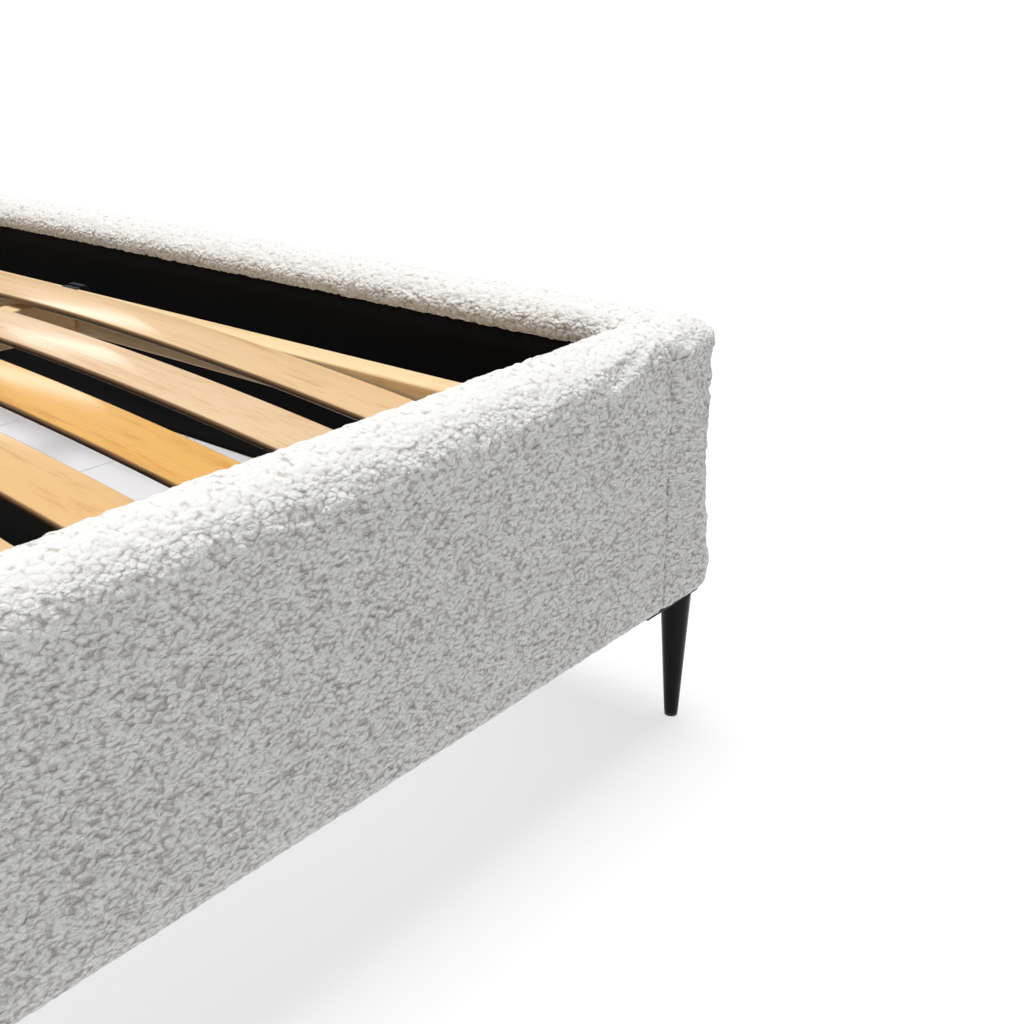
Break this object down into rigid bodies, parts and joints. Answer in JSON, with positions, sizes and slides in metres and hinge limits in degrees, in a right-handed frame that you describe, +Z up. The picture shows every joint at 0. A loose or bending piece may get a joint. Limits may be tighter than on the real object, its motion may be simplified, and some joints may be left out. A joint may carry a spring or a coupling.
{
  "type": "upholstered bed",
  "caption": "Double bed with a padded headboard and rails in off-white boucle, tapered black legs and a bent-slat frame that lifts over a storage box.",
  "frame": {"origin": "on the floor under the middle of the bed", "axes": "+Z up, +Y from the foot end to the headboard, +X to the right seen from the foot end"},
  "size_m": [1.74, 2.198, 1.1],
  "materials": {
    "boucle": "curly off-white boucle",
    "foam": "cut polyurethane foam",
    "black_lining": "non-woven black lining cloth",
    "beech_slat": "bent birch veneer, clear lacquer",
    "pine": "planed pine, bare",
    "raw_timber": "sawn softwood",
    "plywood": "sanded plywood",
    "white_board": "white laminated fibreboard",
    "holder_plastic": "moulded plastic",
    "glide_plastic": "moulded plastic",
    "black_leg": "gloss black powder coat",
    "black_plate": "satin black powder coat",
    "zinc_steel": "zinc plated",
    "black_tube": "black paint",
    "chrome_rod": "polished",
    "black_webbing": "woven strap"
  },
  "bodies": {
    "bed_base": {"bottom_center_board": "white_board", "bottom_side_boards": "white_board", "bottom_supports": "raw_timber", "box_linings": "black_lining", "bracket_screws": "zinc_steel", "center_leg": "black_leg", "corner_brackets": "black_plate", "floor_cloth": "black_lining", "foot_rail_board": "raw_timber", "foot_rail_cover": "boucle", "foot_rail_padding": "foam", "frame_rests": "pine", "headboard_back_cloth": "black_lining", "headboard_cover": "boucle", "headboard_frame": "raw_timber", "headboard_padding": "foam", "headboard_panel": "plywood", "leg_foot_left": "black_leg", "leg_foot_right": "black_leg", "leg_glides": "glide_plastic", "leg_head_left": "black_leg", "leg_head_right": "black_leg", "leg_plates": "black_plate", "lift_base_plates": "black_plate", "lift_pins": "zinc_steel", "side_rail_left_board": "raw_timber", "side_rail_left_cover": "boucle", "side_rail_left_padding": "foam", "side_rail_right_board": "raw_timber", "side_rail_right_cover": "boucle", "side_rail_right_padding": "foam"},
    "lift_frame": {"frame_center_beam": "pine", "frame_crossbar_foot": "pine", "frame_crossbar_head": "pine", "frame_hinge_plates": "black_plate", "frame_screws": "zinc_steel", "frame_side_bar_left": "pine", "frame_side_bar_right": "pine", "pull_strap": "black_webbing", "slat_01": "beech_slat", "slat_02": "beech_slat", "slat_03": "beech_slat", "slat_04": "beech_slat", "slat_05": "beech_slat", "slat_06": "beech_slat", "slat_07": "beech_slat", "slat_08": "beech_slat", "slat_09": "beech_slat", "slat_10": "beech_slat", "slat_11": "beech_slat", "slat_12": "beech_slat", "slat_13": "beech_slat", "slat_14": "beech_slat", "slat_15": "beech_slat", "slat_16": "beech_slat", "slat_17": "beech_slat", "slat_holders": "holder_plastic"},
    "gas_cylinder_left": {"gas_cylinder_left": "black_tube"},
    "gas_rod_left": {"gas_rod_left": "chrome_rod"},
    "gas_cylinder_right": {"gas_cylinder_right": "black_tube"},
    "gas_rod_right": {"gas_rod_right": "chrome_rod"}
  },
  "joints": [
    {"name": "frame_lift", "type": "hinge", "parent": "bed_base", "child": "lift_frame", "pos_m": [0, 0.889, 0.292], "axis": [-1, 0, 0], "range_deg": [0, 45]},
    {"name": "gas_cylinder_left_swing", "type": "hinge", "parent": "bed_base", "child": "gas_cylinder_left", "pos_m": [-0.779, 0.549, 0.192], "axis": [1, 0, 0], "range_deg": [0, 7]},
    {"name": "gas_rod_left_slide", "type": "slide", "parent": "gas_cylinder_left", "child": "gas_rod_left", "axis": [0, 0.9417, 0.3363], "range_m": [0, 0.034]},
    {"name": "gas_cylinder_right_swing", "type": "hinge", "parent": "bed_base", "child": "gas_cylinder_right", "pos_m": [0.779, 0.549, 0.192], "axis": [1, 0, 0], "range_deg": [0, 7]},
    {"name": "gas_rod_right_slide", "type": "slide", "parent": "gas_cylinder_right", "child": "gas_rod_right", "axis": [0, 0.9417, 0.3363], "range_m": [0, 0.034]}
  ],
  "couplings": [
    {"joint": "gas_cylinder_left_swing", "follows": "frame_lift", "ratio": 0.13163},
    {"joint": "gas_rod_left_slide", "follows": "frame_lift", "m_per_rad": 0.041483},
    {"joint": "gas_cylinder_right_swing", "follows": "frame_lift", "ratio": 0.13163},
    {"joint": "gas_rod_right_slide", "follows": "frame_lift", "m_per_rad": 0.041483}
  ]
}
